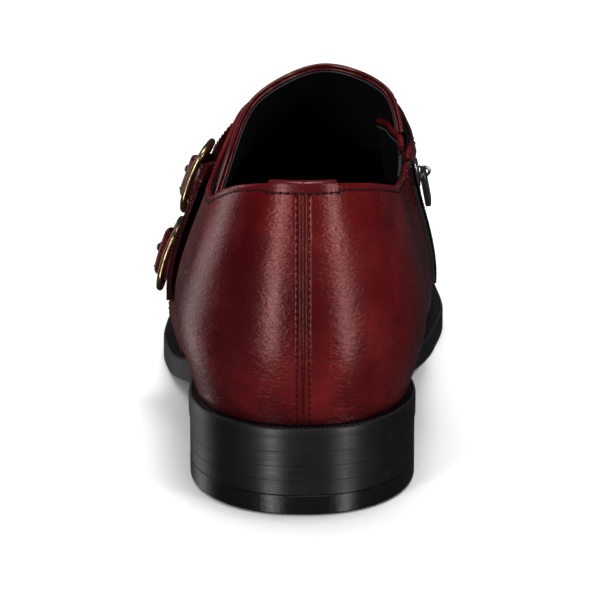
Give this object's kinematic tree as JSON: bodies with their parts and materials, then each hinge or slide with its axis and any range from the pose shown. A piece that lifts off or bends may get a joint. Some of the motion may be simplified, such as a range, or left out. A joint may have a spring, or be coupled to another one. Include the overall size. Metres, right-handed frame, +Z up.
{
  "type": "monk strap shoe",
  "caption": "Leather monk strap shoe with two buckled straps over the instep, a side zip, a welted sole and a stacked heel.",
  "frame": {"origin": "on the floor under the middle of the heel's resting face", "axes": "+Z up, +Y from the heel to the toe, +X to the inner side of the left foot, where the zip is"},
  "size_m": [0.1026, 0.3084, 0.1185],
  "materials": {
    "leather": "polished",
    "strap_leather": "polished",
    "sole": "satin",
    "toplift": "matte",
    "insole": "matte",
    "brass": "antique",
    "zip_metal": "bright",
    "zip_tape": "woven",
    "zip_pull": "satin"
  },
  "bodies": {
    "shoe": {"outsole": "sole", "welt": "sole", "heel_toplift": "toplift", "heel_lift_1": "sole", "heel_lift_2": "sole", "heel_lift_3": "sole", "insole": "insole", "upper": "leather", "tongue": "leather", "throat_gusset": "leather", "strap_upper": "strap_leather", "strap_lower": "strap_leather", "buckle_flap": "strap_leather", "buckle_upper_frame": "brass", "buckle_upper_prong": "brass", "buckle_lower_frame": "brass", "buckle_lower_prong": "brass", "zip_tape": "zip_tape", "zip_teeth": "zip_metal", "zip_slider": "zip_metal"},
    "zip_pull": {"zip_pull": "zip_pull"}
  },
  "joints": [
    {"name": "zip_pull_swing", "type": "hinge", "parent": "shoe", "child": "zip_pull", "pos_m": [0.03846, 0.03971, 0.08941], "axis": [-0.0438, -0.9453, -0.3232], "range_deg": [0, 150]}
  ]
}
